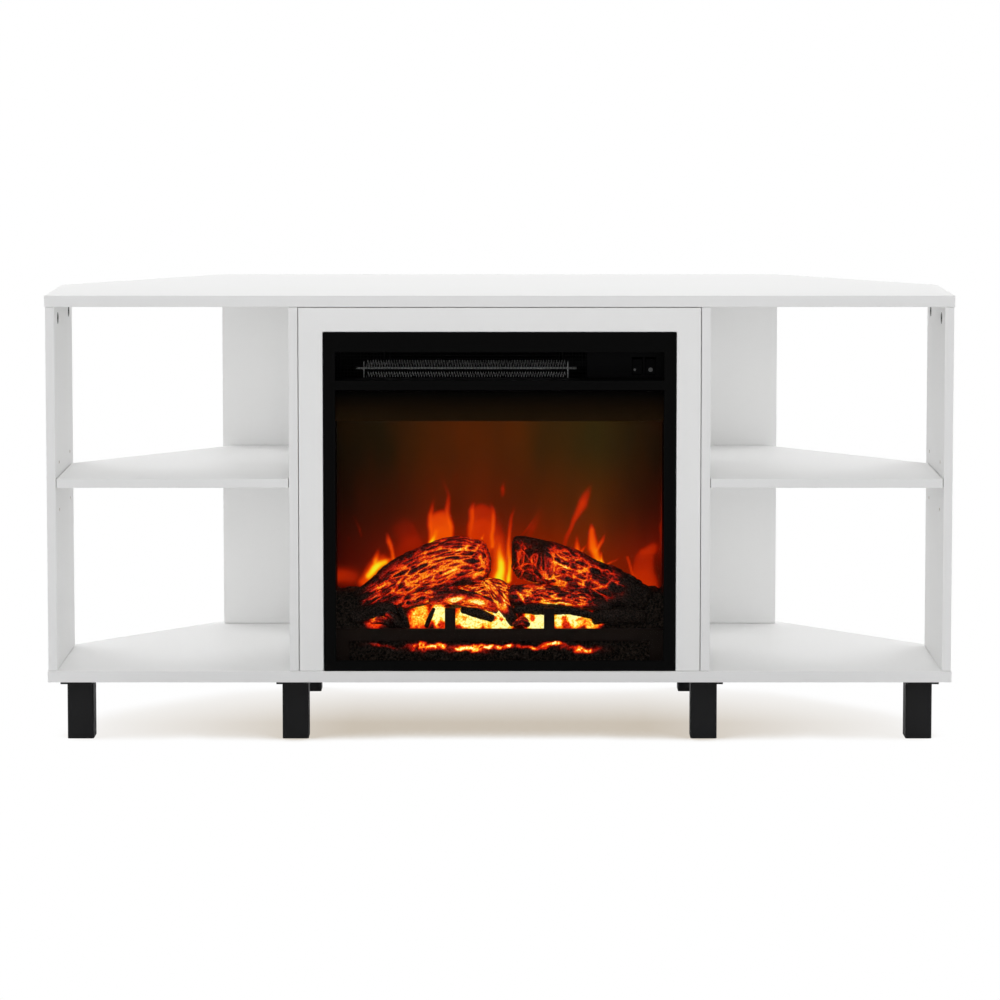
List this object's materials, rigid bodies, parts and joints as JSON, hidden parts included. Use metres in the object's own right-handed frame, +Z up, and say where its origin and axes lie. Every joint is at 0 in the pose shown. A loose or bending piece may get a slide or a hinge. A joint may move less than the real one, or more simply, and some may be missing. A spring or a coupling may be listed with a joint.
{
  "type": "fireplace tv stand",
  "caption": "Low white media stand with cut-off rear corners, open shelf bays at both ends, black square legs and a built-in electric fireplace in the middle.",
  "frame": {"origin": "middle of the footprint, on the floor", "axes": "+X to the viewer's right along the long side, +Y from the front to the back, +Z up"},
  "size_m": [1.2, 0.4, 0.595],
  "materials": {
    "white_laminate": "white melamine on particle board, satin",
    "white_lacquer": "white lacquered MDF, satin",
    "black_steel": "black powder coat, satin",
    "black_trim": "black enamel, smooth",
    "zinc": "zinc plated",
    "bright_steel": "bright drawn steel",
    "clear_glass": "clear tempered glass",
    "case_steel": "folded sheet steel, dark coat",
    "mesh_steel": "black wire mesh",
    "heater_aluminium": "folded aluminium fins",
    "black_plastic": "moulded black plastic",
    "screen_acrylic": "smoked translucent acrylic",
    "resin_bark": "moulded resin, painted as charred bark",
    "resin_embers": "moulded translucent resin, lit from below",
    "reflector": "polished reflecting foil",
    "motor_grey": "pressed steel can",
    "circuit_board": "solder-masked circuit board"
  },
  "bodies": {
    "root": {"bottom_panel": "white_laminate", "top_panel": "white_laminate", "left_side_panel": "white_laminate", "left_divider": "white_laminate", "left_back_panel": "white_laminate", "right_side_panel": "white_laminate", "right_divider": "white_laminate", "right_back_panel": "white_laminate", "left_front_side_pin": "bright_steel", "left_front_divider_pin": "bright_steel", "left_rear_side_pin": "bright_steel", "left_rear_divider_pin": "bright_steel", "right_front_side_pin": "bright_steel", "right_front_divider_pin": "bright_steel", "right_rear_side_pin": "bright_steel", "right_rear_divider_pin": "bright_steel", "left_front_side_cam": "zinc", "left_front_divider_cam": "zinc", "left_rear_side_cam": "zinc", "left_rear_divider_cam": "zinc", "right_front_side_cam": "zinc", "right_front_divider_cam": "zinc", "right_rear_side_cam": "zinc", "right_rear_divider_cam": "zinc", "surround_frame": "white_lacquer", "left_corner_leg": "black_steel", "left_front_leg": "black_steel", "left_rear_leg": "black_steel", "right_corner_leg": "black_steel", "right_front_leg": "black_steel", "right_rear_leg": "black_steel", "front_frame": "black_trim", "glass_pane": "clear_glass", "insert_wrapper": "case_steel", "insert_top_cover": "case_steel", "insert_back_cover": "case_steel", "cord_gland": "black_plastic", "left_mount_bracket": "zinc", "right_mount_bracket": "zinc", "firebox_ceiling": "black_trim", "outlet_grille": "mesh_steel", "control_panel": "black_plastic", "heater_element": "heater_aluminium", "blower_housing": "case_steel", "blower_motor": "zinc", "flame_screen": "screen_acrylic", "left_log": "resin_bark", "right_log": "resin_bark", "ember_bed": "resin_embers", "grate": "black_plastic", "rotor_bearing": "black_plastic", "rotor_motor": "motor_grey", "led_board": "circuit_board"},
    "left_shelf": {"left_shelf": "white_laminate"},
    "right_shelf": {"right_shelf": "white_laminate"},
    "blower": {"blower_wheel": "bright_steel"},
    "flame_rotor": {"flame_rotor": "reflector"},
    "power_switch": {"power_rocker": "black_plastic"},
    "heat_switch": {"heat_rocker": "black_plastic"}
  },
  "joints": [
    {"name": "left_shelf_lift", "type": "slide", "parent": "root", "child": "left_shelf", "axis": [0, 0, 1], "range_m": [0, 0.032]},
    {"name": "right_shelf_lift", "type": "slide", "parent": "root", "child": "right_shelf", "axis": [0, 0, 1], "range_m": [0, 0.032]},
    {"name": "blower_spin", "type": "hinge", "parent": "root", "child": "blower", "pos_m": [-0.035, -0.0967, 0.4971], "axis": [1, 0, 0], "continuous": true},
    {"name": "flame_rotor_spin", "type": "hinge", "parent": "root", "child": "flame_rotor", "pos_m": [0, -0.0409, 0.1573], "axis": [1, 0, 0], "continuous": true},
    {"name": "power_rocker_tilt", "type": "hinge", "parent": "root", "child": "power_switch", "pos_m": [0.1833, -0.1577, 0.498], "axis": [-1, 0, 0], "range_deg": [0, 20]},
    {"name": "heat_rocker_tilt", "type": "hinge", "parent": "root", "child": "heat_switch", "pos_m": [0.2006, -0.1577, 0.498], "axis": [-1, 0, 0], "range_deg": [0, 20]}
  ]
}
